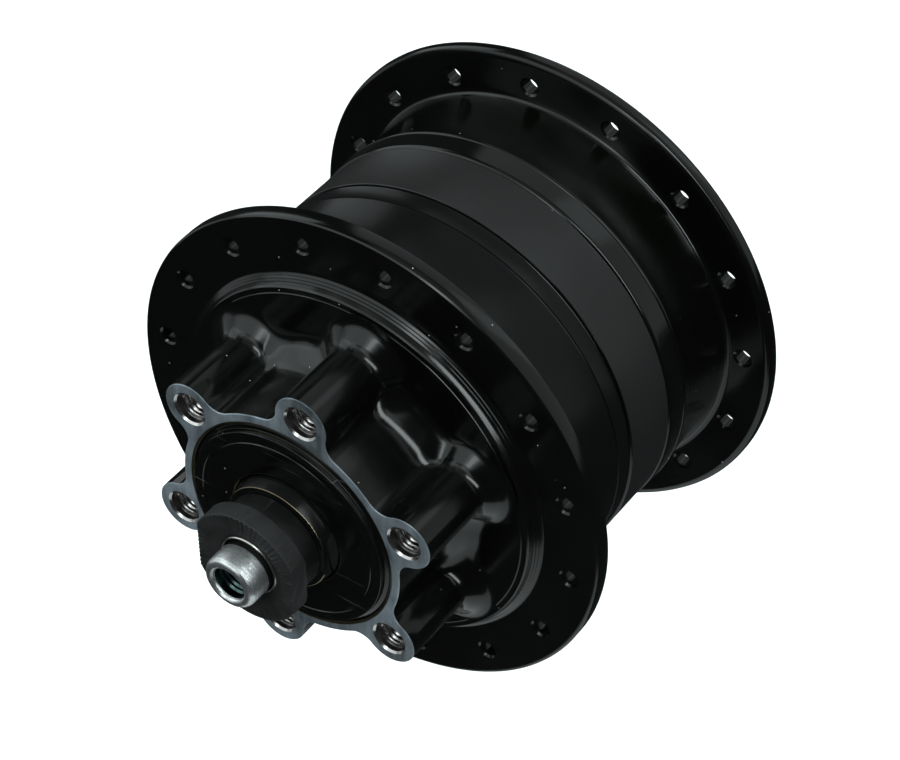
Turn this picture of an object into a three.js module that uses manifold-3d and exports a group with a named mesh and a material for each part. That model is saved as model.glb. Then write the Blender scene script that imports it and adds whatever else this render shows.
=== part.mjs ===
// Front wheel hub with a built-in generator and a six-bolt disc rotor mount.
// Millimetres. The hub turns about Y: -Y is the rotor side, +Y the terminal side, +Z is up.
// The origin is the middle of the axle, halfway between the two locknut faces.
import * as THREE from "three";
import { mergeVertices } from "three/addons/utils/BufferGeometryUtils.js";
import { ParametricGeometry } from "three/addons/geometries/ParametricGeometry.js";
import Module from "manifold-3d";

const wasm = await Module();
wasm.setup();

// ---- driving dimensions -------------------------------------------------------------------
const LOCKNUT_FACE = 50; // half of the 100 mm spacing between the fork ends
const AXLE_END = 54; // half of the axle's length
const AXLE_R = 4.4;
const AXLE_BORE_R = 2.7; // quick-release skewer passes through
const AXLE_CORE_R = 6.0; // thicker middle that carries the stator
const AXLE_COLLAR_R = 7.6;

const ROTOR_FACE = -39.5; // 10.5 mm inboard of the locknut face
const BOLT_CIRCLE_R = 22;
const BOLT_HOLE_R = 2.1; // tapping drill for M5
const BOLT_COUNT = 6;
const BOLT_PHASE = 142.4;
const BOLT_HOLE_END = -28.5;
const BOLT_CHAMFER_R = 2.9;
const BOLT_COUNTERBORE_R = 2.6;
const BOLT_COUNTERBORE_END = -37.6;
const POST_R = 4.4;
const BARREL_R = 19.45;
const POST_FILLET_R = 3;
const FOOT_R = 3.1; // quarter round at the foot of the posts
const CAP_SEAT_R = 17.7;

const SPOKES_PER_FLANGE = 16;
const SPOKE_HOLE_R = 1.35;
const LEFT_SPOKE_R = 36.9;
const RIGHT_SPOKE_R = 37.1;
const LEFT_SPOKE_PHASE = 173.06;
const RIGHT_SPOKE_PHASE = 139.43;
const LEFT_FLANGE_FACE = -21.82;
const LEFT_FLANGE_BACK = -18.9;
const LEFT_FLANGE_R = 41.4;
const RIGHT_FLANGE_FACE = 25.6;
const RIGHT_FLANGE_BACK = 28.2;
const RIGHT_FLANGE_R = 41.9;
const END_CAP_RECESS_R = 34.4; // the cap's rim sits in this recess, below the flange's back face
const END_CAP_RECESS_Y = 27.7;
const CAVITY_R = 30.2;
const END_CAP_SEAT_R = 31.0;

const BALL_R = 2.381; // 3/16 inch balls
const BALL_COUNT = 9;
const BALL_CIRCLE_R = 9.4;
const BEARING_Y = 33.6;
const RACE_R = 2.6;
const BEARING_SEAT_R = 13.4;
const CUP_R = 13.3;
const CONE_COLLAR_R = 9.25;
const WRENCH_HALF_WIDTH = 8.4; // 17 mm cone spanner, less its play
const CONE_FRONT_LEFT = 42.6;
const CONE_FRONT_RIGHT = 40.9;
const THREAD_BORE_R = 4.5;
const NUT_R = 9.5;

const POLE_PAIRS = 14;
const YOKE_R = 30.0;
const MAGNET_OUTER_R = 28.4;
const MAGNET_INNER_R = 26.5;
const MAGNET_SPAN = 87;
const FINGER_OUTER_R = 25.6;
const FINGER_THICKNESS = 1.4;
const CLAW_LEFT_Y = -14.5;
const CLAW_RIGHT_Y = 17.5;
const CLAW_THICKNESS = 2;
const STATOR_BORE_R = 6.3;

const TERMINAL_TURN = 180; // the terminal block and its leads point down
const WIRE_R = 0.4;
const WIRE_X = 0.6;
const SLOT_HALF_WIDTH = 1.3;
const SLOT_FLOOR = 3.2;

const SHELL_SIDES = 48;
const RING_SIDES = 32;
const SMALL_SIDES = 20;

// ---- helpers ------------------------------------------------------------------------------
const hub = new THREE.Group();
const radians = THREE.MathUtils.degToRad;

// Leaves only positions, joins equal corners and drops triangles that collapsed on the axis.
function weld(geometry) {
  const bare = new THREE.BufferGeometry();
  bare.setAttribute("position", geometry.getAttribute("position").clone());
  if (geometry.index) bare.setIndex(geometry.index.clone());
  const merged = mergeVertices(bare, 1e-4);
  const corners = merged.index.array;
  const kept = [];
  for (let i = 0; i < corners.length; i += 3) {
    const [a, b, c] = [corners[i], corners[i + 1], corners[i + 2]];
    if (a !== b && b !== c && c !== a) kept.push(a, b, c);
  }
  merged.setIndex(kept);
  return merged;
}

function solid(geometry) {
  const welded = weld(geometry);
  return new wasm.Manifold(new wasm.Mesh({
    numProp: 3,
    vertProperties: Float32Array.from(welded.getAttribute("position").array),
    triVerts: Uint32Array.from(welded.index.array),
  }));
}

function geometryOf(manifold) {
  const mesh = manifold.getMesh();
  const geometry = new THREE.BufferGeometry();
  geometry.setAttribute("position", new THREE.BufferAttribute(mesh.vertProperties, 3));
  geometry.setIndex(new THREE.BufferAttribute(mesh.triVerts, 1));
  return geometry;
}

function joined(geometries) {
  return geometries.map(solid).reduce((whole, next) => whole.add(next));
}

function cut(base, geometries) {
  return geometries.map(solid).reduce((left, tool) => left.subtract(tool), base);
}

function place(name, geometry, material) {
  const mesh = new THREE.Mesh(weld(geometry), material);
  mesh.geometry.computeVertexNormals();
  mesh.name = name;
  hub.add(mesh);
  return mesh;
}

// A profile is a list of [radius, y] corners, up the outside and down the inside.
function turned(profile, sides) {
  const points = profile.map(([radius, y]) => new THREE.Vector2(radius, y));
  return new THREE.LatheGeometry(points, sides);
}

function ring(profile, sides) {
  return turned([...profile, profile[0]], sides);
}

function tube(innerRadius, outerRadius, y0, y1, sides) {
  return ring([[innerRadius, y0], [outerRadius, y0], [outerRadius, y1], [innerRadius, y1]], sides);
}

function flipped(profile) {
  return profile.map(([radius, y]) => [radius, -y]).reverse();
}

// The same profile serves both ends of the hub: side -1 is the rotor end, +1 the terminal end.
function sided(profile, side) {
  return side < 0 ? profile : flipped(profile);
}

function arc(centreR, centreY, radius, fromDegrees, toDegrees, steps) {
  return Array.from({ length: steps + 1 }, (_, i) => {
    const angle = radians(fromDegrees + ((toDegrees - fromDegrees) * i) / steps);
    return [centreR + radius * Math.cos(angle), centreY + radius * Math.sin(angle)];
  });
}

function box(x0, x1, y0, y1, z0, z1) {
  const geometry = new THREE.BoxGeometry(x1 - x0, y1 - y0, z1 - z0);
  return geometry.translate((x0 + x1) / 2, (y0 + y1) / 2, (z0 + z1) / 2);
}

function rod(radius, y0, y1, sides, endRadius = radius) {
  return new THREE.CylinderGeometry(endRadius, radius, y1 - y0, sides).translate(0, (y0 + y1) / 2, 0);
}

// Angles run from +X towards +Z.
function around(geometry, radius, degrees) {
  return geometry.translate(radius, 0, 0).rotateY(-radians(degrees));
}

function extrudedAlongY(shape, y0, y1, curveSegments) {
  const options = { depth: y1 - y0, bevelEnabled: false, curveSegments };
  return new THREE.ExtrudeGeometry(shape, options).rotateX(-Math.PI / 2).translate(0, y0, 0);
}

// Shapes of the terminal side are written pointing up, then turned to where the block points.
function toTerminal(geometry) {
  return geometry.rotateY(radians(TERMINAL_TURN));
}

function finish(color, roughness, metalness) {
  return new THREE.MeshStandardMaterial({ color, roughness, metalness });
}

const blackPaint = () => finish(0x0b0c0e, 0.22, 0.3);
const blackPlastic = () => finish(0x17181a, 0.5, 0);
const blackOxide = () => finish(0x3a3d40, 0.6, 0.7);
const brightSteel = () => finish(0xb9bfc4, 0.3, 1);
const bearingSteel = () => finish(0x8f9499, 0.2, 1);
const softIron = () => finish(0x6b6f73, 0.5, 0.9);
const ferrite = () => finish(0x2b2b2e, 0.7, 0.2);
const copper = () => finish(0xb4622f, 0.35, 1);
const rubber = () => finish(0x101112, 0.85, 0);
const nylon = () => finish(0xd8d2c0, 0.55, 0);
const brass = () => finish(0xb89b4e, 0.3, 1);

// ---- hub shell ----------------------------------------------------------------------------
// Radius of the rotor mount's outline: six round posts blended into a round barrel. The turn
// runs over half a lobe in three stretches: the post, the hollow fillet and the barrel.
function lobeOutline(turn, postR, barrelR, filletR) {
  const filletCentreR = barrelR + filletR;
  const reach = postR + filletR;
  const cosine = (BOLT_CIRCLE_R ** 2 + filletCentreR ** 2 - reach ** 2)
    / (2 * BOLT_CIRCLE_R * filletCentreR);
  const filletAngle = Math.acos(cosine);
  const filletX = filletCentreR * Math.cos(filletAngle);
  const filletY = filletCentreR * Math.sin(filletAngle);
  const postEnd = Math.atan2(
    (filletY * postR) / reach,
    BOLT_CIRCLE_R + ((filletX - BOLT_CIRCLE_R) * postR) / reach,
  );
  const [postShare, filletShare] = [0.5, 1 / 3];
  const halfLobe = Math.PI / BOLT_COUNT;
  if (turn <= postShare) {
    const angle = (postEnd * turn) / postShare;
    const side = BOLT_CIRCLE_R * Math.sin(angle);
    return [angle, BOLT_CIRCLE_R * Math.cos(angle) + Math.sqrt(Math.max(postR ** 2 - side ** 2, 0))];
  }
  if (turn <= postShare + filletShare) {
    const angle = postEnd + ((filletAngle - postEnd) * (turn - postShare)) / filletShare;
    const side = filletCentreR * Math.sin(filletAngle - angle);
    const along = filletCentreR * Math.cos(filletAngle - angle);
    return [angle, along - Math.sqrt(Math.max(filletR ** 2 - side ** 2, 0))];
  }
  const rest = (turn - postShare - filletShare) / (1 - postShare - filletShare);
  return [filletAngle + (halfLobe - filletAngle) * rest, barrelR];
}

// Posts, barrel and the rounded foot that runs out into the hub's face, then a row inside the wall.
function mountStations() {
  const footStart = -28.4;
  const footSteps = 5;
  const [barrelFlare, filletLoss] = [2.6, 1.8];
  const straight = { postR: POST_R, barrelR: BARREL_R, filletR: POST_FILLET_R };
  const foot = Array.from({ length: footSteps + 1 }, (_, i) => {
    const angle = (Math.PI / 2) * (i / footSteps);
    const flare = 1 - Math.cos(angle);
    return {
      y: footStart + FOOT_R * Math.sin(angle),
      postR: POST_R + FOOT_R * flare,
      barrelR: BARREL_R + barrelFlare * flare,
      filletR: POST_FILLET_R - filletLoss * flare,
    };
  });
  return [{ y: ROTOR_FACE, ...straight }, ...foot, { ...foot[footSteps], y: -23.4 }];
}

function rotorMount() {
  const stepsPerHalfLobe = 6;
  const around360 = BOLT_COUNT * 2 * stepsPerHalfLobe;
  const stations = mountStations();
  const rows = stations.length + 1;
  const point = (u, v, target) => {
    const row = Math.round(v * rows);
    const station = stations[Math.min(Math.max(row - 1, 0), stations.length - 1)];
    const step = Math.round(u * around360) % around360;
    const lobe = Math.floor(step / (2 * stepsPerHalfLobe));
    const inLobe = step % (2 * stepsPerHalfLobe);
    const mirrored = inLobe > stepsPerHalfLobe;
    const turn = (mirrored ? 2 * stepsPerHalfLobe - inLobe : inLobe) / stepsPerHalfLobe;
    const [angle, reach] = lobeOutline(turn, station.postR, station.barrelR, station.filletR);
    const lobePitch = (2 * Math.PI) / BOLT_COUNT;
    const local = mirrored ? lobePitch - angle : angle;
    const heading = radians(BOLT_PHASE) - lobe * lobePitch - local;
    const radius = row === 0 || row === rows ? 0 : reach;
    target.set(radius * Math.cos(heading), station.y, radius * Math.sin(heading));
  };
  return new ParametricGeometry(point, around360, rows);
}

function spokeHoles(radius, phase, y0, y1) {
  return Array.from({ length: SPOKES_PER_FLANGE }, (_, i) =>
    around(rod(SPOKE_HOLE_R, y0, y1, 6), radius, phase + (i * 360) / SPOKES_PER_FLANGE));
}

function boltHoles() {
  const overrun = 0.5;
  const chamferDepth = BOLT_CHAMFER_R - BOLT_COUNTERBORE_R + overrun;
  const wideR = BOLT_CHAMFER_R + overrun;
  const narrowR = BOLT_CHAMFER_R - chamferDepth;
  const sides = 10;
  return Array.from({ length: BOLT_COUNT }, (_, i) => i * (360 / BOLT_COUNT) + BOLT_PHASE)
    .flatMap((angle) => [
      rod(BOLT_HOLE_R, ROTOR_FACE, BOLT_HOLE_END, sides),
      rod(BOLT_COUNTERBORE_R, ROTOR_FACE - 1, BOLT_COUNTERBORE_END, sides),
      rod(wideR, ROTOR_FACE - overrun, ROTOR_FACE + chamferDepth, sides, narrowR),
    ].map((tool) => around(tool, BOLT_CIRCLE_R, angle)));
}

const shellOutside = [
  [0, -25.3], [27, -25], [30.26, -24.82],
  [31.04, -23.58], [32.57, LEFT_FLANGE_FACE], [41.0, LEFT_FLANGE_FACE],
  [LEFT_FLANGE_R, -20.9], [LEFT_FLANGE_R, LEFT_FLANGE_BACK],
  [34.6, -18.7], [33.3, -17.4], [33.4, -4.2], [33.9, -0.8],
  [33.9, 9.4], [34.3, 13.5], [33.5, 14.6], [33.1, 19], [34.1, 25.1],
  [34.6, RIGHT_FLANGE_FACE], [41.1, RIGHT_FLANGE_FACE], [RIGHT_FLANGE_R, 26.5],
  [RIGHT_FLANGE_R, 27.5], [41.2, RIGHT_FLANGE_BACK], [END_CAP_RECESS_R, RIGHT_FLANGE_BACK],
  [END_CAP_RECESS_R, END_CAP_RECESS_Y], [0, END_CAP_RECESS_Y],
];
const shellInside = [
  [0, -41], [CAP_SEAT_R, -41], [CAP_SEAT_R, -37.6], [BEARING_SEAT_R, -37.6],
  [BEARING_SEAT_R, -29.6], [9, -29.6], [9, -22], [26, -22], [CAVITY_R, -18.5],
  [CAVITY_R, 24.2], [END_CAP_SEAT_R, 24.4], [END_CAP_SEAT_R, 30], [0, 30],
];

function hubShell() {
  const outside = solid(turned(shellOutside, SHELL_SIDES)).add(solid(rotorMount()));
  return geometryOf(cut(outside, [
    turned(shellInside, RING_SIDES),
    ...boltHoles(),
    ...spokeHoles(LEFT_SPOKE_R, LEFT_SPOKE_PHASE, -23, -18),
    ...spokeHoles(RIGHT_SPOKE_R, RIGHT_SPOKE_PHASE, 24.5, 29),
  ]));
}
place("hub_shell", hubShell(), blackPaint());

// ---- end cap on the terminal side -----------------------------------------------------------
const endCap = [
  [28.4, 24.6], [30.8, 24.6], [30.8, 25.9], [29.6, 25.9], [29.6, 27.5], [30.8, 27.5],
  [30.8, 28], [34, 28], [33.6, 30.2], [28, 31.6], [21.5, 34.2], [18.2, 36.6],
  [18, 39.2], [15.2, 39.2], [15.2, 37.6], [BEARING_SEAT_R, 37.6],
  [BEARING_SEAT_R, 29.6], [9, 29.6], [9, 27.6], [15.5, 27.6], [19, 31], [28.4, 28.4],
];
place("right_end_cap", ring(endCap, RING_SIDES), blackPaint());
place("end_cap_o_ring", ring(arc(30.3, 26.7, 0.6, -135, 135, 3), RING_SIDES), rubber());

// ---- rotor of the generator: iron ring and four magnet arcs ---------------------------------
place("magnet_yoke_ring", tube(28.6, YOKE_R, -16, 19, RING_SIDES), softIron());
for (let i = 0; i < 4; i += 1) {
  const start = radians(i * 90 + 1.5);
  const end = start + radians(MAGNET_SPAN);
  const outline = new THREE.Shape();
  outline.absarc(0, 0, MAGNET_OUTER_R, start, end, false);
  outline.absarc(0, 0, MAGNET_INNER_R, end, start, true);
  place(`magnet_arc_${i + 1}`, extrudedAlongY(outline, -15.5, 18.5, 7), ferrite());
}

// ---- axle -------------------------------------------------------------------------------------
const axleProfile = [
  [AXLE_BORE_R, -AXLE_END], [3.9, -AXLE_END], [AXLE_R, -53.4], [AXLE_R, -20],
  [AXLE_COLLAR_R, -19.4], [AXLE_COLLAR_R, -14.8], [AXLE_CORE_R, -14.8], [AXLE_CORE_R, 22],
  [AXLE_R, 22.6], [AXLE_R, 53.4], [3.9, AXLE_END], [AXLE_BORE_R, AXLE_END],
];
const wireSlot = toTerminal(box(-SLOT_HALF_WIDTH, SLOT_HALF_WIDTH, 13, 45.5, SLOT_FLOOR, 8));
place("axle", geometryOf(cut(solid(ring(axleProfile, SMALL_SIDES)), [wireSlot])), brightSteel());

// ---- bearings: pressed cup, threaded cone, caged balls ----------------------------------------
const cupProfile = [
  [12.3, -37.4], [CUP_R, -37.4], [CUP_R, -29.7], [8.4, -29.7], [8.4, -BEARING_Y + RACE_R],
  ...arc(BALL_CIRCLE_R, -BEARING_Y, RACE_R, 90, 0, 4),
];

function coneProfile(front) {
  return [
    [THREAD_BORE_R, -front], [8.85, -front], [CONE_COLLAR_R, -front + 1.8], [CONE_COLLAR_R, -37.3],
    ...arc(BALL_CIRCLE_R, -BEARING_Y, RACE_R, 260, 180, 4),
    [BALL_CIRCLE_R - RACE_R, -30.8], [THREAD_BORE_R, -30.8],
  ];
}

// Two flats for a thin spanner, one on each side, from one end face to a depth.
function wrenchFlats(face, depth, side) {
  const [near, far] = [side * (face + 1), side * (face - depth)];
  const [y0, y1] = [Math.min(near, far), Math.max(near, far)];
  return [
    box(-12, -WRENCH_HALF_WIDTH, y0, y1, -12, 12),
    box(WRENCH_HALF_WIDTH, 12, y0, y1, -12, 12),
  ];
}

function ballCage(side) {
  const pitch = 360 / BALL_COUNT;
  const [yRing0, yRing1] = side < 0 ? [-37.0, -36.35] : [36.35, 37.0];
  const [yFinger0, yFinger1] = side < 0 ? [-36.6, -32.7] : [32.7, 36.6];
  const fingers = Array.from({ length: BALL_COUNT }, (_, i) =>
    box(9.5, 10.9, yFinger0, yFinger1, -0.5, 0.5).rotateY(-radians((i + 0.5) * pitch)));
  return geometryOf(joined([tube(9.7, 11.6, yRing0, yRing1, SMALL_SIDES), ...fingers]));
}

const sealProfile = [[9.45, -38.8], [15.0, -38.8], [15.0, -37.9], [12, -37.9], [9.45, -38.2]];

function dustCap(outer, front) {
  return [
    [9.6, -front], [outer - 0.9, -front], [outer - 0.5, -front + 1], [outer, -front + 1.1],
    [outer, -37.8], [outer - 2, -37.8], [outer - 2, -front + 1.4], [9.6, -front + 1.4],
  ];
}

for (const [name, side, coneFront, capR, capFront] of [
  ["left", -1, CONE_FRONT_LEFT, CAP_SEAT_R - 0.1, 40.4],
  ["right", 1, CONE_FRONT_RIGHT, 15.1, 40.2],
]) {
  place(`${name}_bearing_cup`, ring(sided(cupProfile, side), SMALL_SIDES), bearingSteel());
  const cone = solid(ring(sided(coneProfile(coneFront), side), SMALL_SIDES));
  place(`${name}_cone`, geometryOf(cut(cone, wrenchFlats(coneFront, 2.4, side))), blackOxide());
  place(`${name}_ball_cage`, ballCage(side), bearingSteel());
  const seal = sealProfile.map(([radius, y]) => [Math.min(radius, capR - 2.2), y]);
  place(`${name}_seal_ring`, ring(sided(seal, side), SMALL_SIDES), rubber());
  place(`${name}_dust_cap`, ring(sided(dustCap(capR, capFront), side), RING_SIDES), blackPaint());
  for (let i = 0; i < BALL_COUNT; i += 1) {
    const ball = new THREE.SphereGeometry(BALL_R, 8, 6).translate(0, side * BEARING_Y, 0);
    place(`${name}_ball_${i + 1}`, around(ball, BALL_CIRCLE_R, (i * 360) / BALL_COUNT), bearingSteel());
  }
}

// ---- stator: two claw plates whose fingers interleave around a coil ---------------------------
function clawPlate(plateY, tipY, phase) {
  const pitch = 360 / POLE_PAIRS;
  const [rootHalf, tipHalf] = [2.2, 1.2];
  const star = new THREE.Shape();
  for (let i = 0; i < POLE_PAIRS; i += 1) {
    for (const [radius, offset] of [[15.5, -8.6], [25.5, -5], [25.5, 5], [15.5, 8.6]]) {
      const angle = radians(i * pitch + offset);
      const corner = [radius * Math.sin(angle), radius * Math.cos(angle)];
      if (i === 0 && offset === -8.6) star.moveTo(...corner);
      else star.lineTo(...corner);
    }
  }
  const inward = Math.sign(tipY - plateY);
  const [y0, y1] = [Math.min(plateY, plateY + inward * CLAW_THICKNESS),
    Math.max(plateY, plateY + inward * CLAW_THICKNESS)];
  const plate = extrudedAlongY(star, y0, y1, 12);
  const finger = new THREE.Shape([
    new THREE.Vector2(-rootHalf, plateY),
    new THREE.Vector2(rootHalf, plateY),
    new THREE.Vector2(tipHalf, tipY),
    new THREE.Vector2(-tipHalf, tipY),
  ]);
  const fingers = Array.from({ length: POLE_PAIRS }, (_, i) =>
    new THREE.ExtrudeGeometry(finger, { depth: FINGER_THICKNESS, bevelEnabled: false })
      .translate(0, 0, FINGER_OUTER_R - FINGER_THICKNESS)
      .rotateY(Math.PI + radians(i * pitch)));
  return cut(
    joined([plate, ...fingers].map((piece) => piece.rotateY(radians(phase)))),
    [rod(STATOR_BORE_R, y0 - 1, y1 + 1, SMALL_SIDES)],
  );
}
const halfPitch = 180 / POLE_PAIRS;
place("stator_claw_left", geometryOf(clawPlate(CLAW_LEFT_Y, 14.3, 0)), softIron());
const leadNotch = toTerminal(box(-1.6, 1.6, 15, 18, 5, 13.6));
place(
  "stator_claw_right",
  geometryOf(cut(clawPlate(CLAW_RIGHT_Y, -11.3, halfPitch), [leadNotch])),
  softIron(),
);
place("stator_core", tube(STATOR_BORE_R, 9.8, -12.3, 15.3, SMALL_SIDES), softIron());

const bobbinProfile = [
  [10.1, -12.3], [23.6, -12.3], [23.6, -11.3], [11.2, -11.3], [11.2, 14.3], [23.6, 14.3],
  [23.6, 15.3], [10.1, 15.3],
];
const bobbinNotch = toTerminal(box(-1.6, 1.6, 14, 16, 11.7, 13.6));
place(
  "coil_bobbin",
  geometryOf(cut(solid(ring(bobbinProfile, RING_SIDES)), [bobbinNotch])),
  nylon(),
);
place("coil_winding", tube(11.4, 22.6, -11.1, 14.0, RING_SIDES), copper());

const hexagon = new THREE.Shape(Array.from({ length: 6 }, (_, i) =>
  new THREE.Vector2(9.2 * Math.cos(radians(i * 60)), 9.2 * Math.sin(radians(i * 60)))));
hexagon.holes.push(new THREE.Path().absarc(0, 0, 6.2, 0, 2 * Math.PI, true));
place("stator_nut", extrudedAlongY(hexagon, 17.8, 21.6, 8), brightSteel());

// ---- leads, terminal block and blades ----------------------------------------------------------
function leadWire(side) {
  const x = side * WIRE_X;
  const route = new THREE.CatmullRomCurve3([
    new THREE.Vector3(x, 14.4, 12.5), new THREE.Vector3(x, 15.6, 12.4),
    new THREE.Vector3(x, 16.5, 11.2), new THREE.Vector3(x, 16.5, 8),
    new THREE.Vector3(x, 16.8, 5.4), new THREE.Vector3(x, 18, 4.1),
    new THREE.Vector3(x, 20, 3.85), new THREE.Vector3(x, 30, 3.85),
    new THREE.Vector3(x, 42, 3.85), new THREE.Vector3(x, 43.6, 4.5),
    new THREE.Vector3(x, 44.3, 6.4), new THREE.Vector3(x, 44.3, 11.6),
    new THREE.Vector3(side * 1.8, 44.3, 13.1), new THREE.Vector3(side * 4.4, 44.6, 13.2),
  ], false, "centripetal");
  const section = new THREE.Shape(Array.from({ length: 6 }, (_, i) =>
    new THREE.Vector2(WIRE_R * Math.cos(radians(i * 60)), WIRE_R * Math.sin(radians(i * 60)))));
  const wire = new THREE.ExtrudeGeometry(section, { steps: 26, bevelEnabled: false, extrudePath: route });
  return toTerminal(wire);
}
place("lead_wire_1", leadWire(-1), copper());
place("lead_wire_2", leadWire(1), copper());

const BLOCK_HALF_WIDTH = 10.5;
const BLOCK_TOP = 24;
const block = cut(
  joined([
    rod(9.8, 42, 46.4, SMALL_SIDES),
    box(-8, 8, 42, 46.4, 0, 12),
    box(-BLOCK_HALF_WIDTH, BLOCK_HALF_WIDTH, 41.6, 49.2, 10.2, BLOCK_TOP),
  ].map(toTerminal)),
  [
    rod(THREAD_BORE_R + 0.1, 40, 51, SMALL_SIDES),
    box(-8.6, 8.6, 45.5, 51, 16, 26),
    box(-SLOT_HALF_WIDTH, SLOT_HALF_WIDTH, 42.6, 45.2, 2, 13),
    box(-6.8, 6.8, 43.2, 47, 12.2, 14.4),
    box(-6.8, -2, 45.7, 47, 12.2, 17),
    box(2, 6.8, 45.7, 47, 12.2, 17),
  ].map(toTerminal),
);
place("terminal_block", geometryOf(block), blackPlastic());
for (const [number, x] of [[1, -4.4], [2, 4.4]]) {
  const blade = toTerminal(box(x - 2, x + 2, 45.95, 46.75, 12.6, 22.4));
  place(`terminal_blade_${number}`, blade, brass());
}

// ---- locknuts, spacer and washer ---------------------------------------------------------------
function locknut(side) {
  const profile = [
    [THREAD_BORE_R, -LOCKNUT_FACE + 0.6], [THREAD_BORE_R + 0.6, -LOCKNUT_FACE],
    [NUT_R - 0.3, -LOCKNUT_FACE], [NUT_R, -LOCKNUT_FACE + 0.3], [NUT_R, -46.6],
    [THREAD_BORE_R, -46.6],
  ];
  const body = solid(ring(sided(profile, side), SMALL_SIDES));
  return geometryOf(cut(body, wrenchFlats(LOCKNUT_FACE, 4, side)));
}
place("left_locknut", locknut(-1), blackOxide());
place("right_locknut", locknut(1), blackOxide());
place("left_spacer", tube(THREAD_BORE_R, 7.9, -46.5, -42.7, SMALL_SIDES), blackOxide());
place("right_washer", tube(THREAD_BORE_R, 8.6, 41.0, 41.5, SMALL_SIDES), blackOxide());

export default hub;
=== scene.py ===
import math
import random

import bmesh
import bpy
from mathutils import Matrix, Vector


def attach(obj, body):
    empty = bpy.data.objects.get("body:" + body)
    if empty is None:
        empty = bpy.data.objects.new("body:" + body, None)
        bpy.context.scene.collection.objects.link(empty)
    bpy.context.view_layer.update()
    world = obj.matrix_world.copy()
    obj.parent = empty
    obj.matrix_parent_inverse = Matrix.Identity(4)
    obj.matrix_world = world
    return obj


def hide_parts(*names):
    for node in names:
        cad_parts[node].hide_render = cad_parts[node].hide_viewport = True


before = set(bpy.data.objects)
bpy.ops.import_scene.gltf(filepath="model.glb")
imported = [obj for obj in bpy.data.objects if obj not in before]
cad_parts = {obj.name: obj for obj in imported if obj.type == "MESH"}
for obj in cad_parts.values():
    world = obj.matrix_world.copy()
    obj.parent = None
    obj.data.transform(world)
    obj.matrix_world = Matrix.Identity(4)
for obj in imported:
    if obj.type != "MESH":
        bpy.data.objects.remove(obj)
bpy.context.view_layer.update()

# Lengths below are in millimetres, as in the CAD part, and turn into metres where meshes are made.
# The hub turns about Y: -Y is the rotor side, +Y the terminal side, +Z is up.
MM = 0.001
BOLTS = 6
BOLT_CIRCLE_R = 22.0
BOLT_PHASE = 142.4
ROTOR_FACE = -39.5
POST_R = 4.4
BARREL_R = 19.45
FILLET_R = 3.0
FOOT_END = -24.25
POST_SKIRT = {"length": 2.5, "flare": 2.9, "start_round": 2.6, "end_round": 3.2}
WEB_SKIRT = {"length": 4.1, "flare": 2.7, "start_round": 5.0, "end_round": 3.2}
SKIRT_FILLET_GAIN = 2.2
SKIRT_STEPS = 10
CAP_SEAT_R = 17.7
BEVEL = 0.12  # round the rotor face's outline
LIP_WIDTH, LIP_DEPTH = 0.45, 0.18  # round the dust cap's seat
THREAD_TOP = -38.1
THREAD_END = -28.9
SPOKES = 16
SPOKE_HOLE_R = 1.35
FLANGES = {
    "left": {"face": -21.82, "back": -18.78, "hole_r": 36.9, "phase": 173.06},
    "right": {"face": 28.2, "back": 25.6, "hole_r": 37.1, "phase": 139.43},
}
NUT_FLAT = 8.4
LOBE_STEPS, FILLET_STEPS, RING_STEPS = 16, 14, 7
COLUMNS = 2 * BOLTS * (LOBE_STEPS + FILLET_STEPS + RING_STEPS)
BOLT_SIDES, AXLE_SIDES, END_CAP_SIDES, COLLAR_SIDES = 32, 96, 192, 160
LOCKNUT_FACE = 50.0


# ---- mesh helpers ----------------------------------------------------------------------------
def mesh_object(name, verts, faces, materials, smooth_angle=28.0):
    """A closed mesh object with outward faces, from corners in millimetres."""
    mesh = bpy.data.meshes.new(name)
    mesh.from_pydata([Vector(v) * MM for v in verts], [], faces)
    for material in materials:
        mesh.materials.append(material)
    bm = bmesh.new()
    bm.from_mesh(mesh)
    bmesh.ops.recalc_face_normals(bm, faces=bm.faces)
    bm.to_mesh(mesh)
    bm.free()
    obj = bpy.data.objects.new(name, mesh)
    bpy.context.scene.collection.objects.link(obj)
    shade(obj, smooth_angle)
    return obj


def shade(obj, angle):
    obj.data.polygons.foreach_set("use_smooth", [True] * len(obj.data.polygons))
    obj.data.set_sharp_from_angle(angle=math.radians(angle))


def grid_faces(rows, columns, close_rows=True):
    """Quads of a grid that closes round its columns, and round its rows for a ring."""
    faces = []
    for i in range(rows if close_rows else rows - 1):
        a, b = i * columns, ((i + 1) % rows) * columns
        for j in range(columns):
            k = (j + 1) % columns
            faces.append((a + j, a + k, b + k, b + j))
    return faces


def rounded(profile, steps=3):
    """A plain outline from (r, y) corners. A third number is the radius that rounds one off."""
    points, count = [], len(profile)
    for i, corner in enumerate(profile):
        if len(corner) == 2:
            points.append(tuple(corner))
            continue
        here = Vector(corner[:2])
        before = (Vector(profile[i - 1][:2]) - here).normalized()
        after = (Vector(profile[(i + 1) % count][:2]) - here).normalized()
        half = before.angle(after) / 2
        reach = corner[2] / math.tan(half)
        centre = here + (before + after).normalized() * corner[2] / math.sin(half)
        first = here + before * reach - centre
        last = here + after * reach - centre
        sweep = first.angle_signed(last)
        for s in range(steps + 1):
            spoke = first.copy()
            spoke.rotate(Matrix.Rotation(-sweep * s / steps, 2))
            points.append(tuple(centre + spoke))
    return points


def flipped(profile):
    return [(c[0], -c[1], *c[2:]) for c in reversed(profile)]


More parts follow.
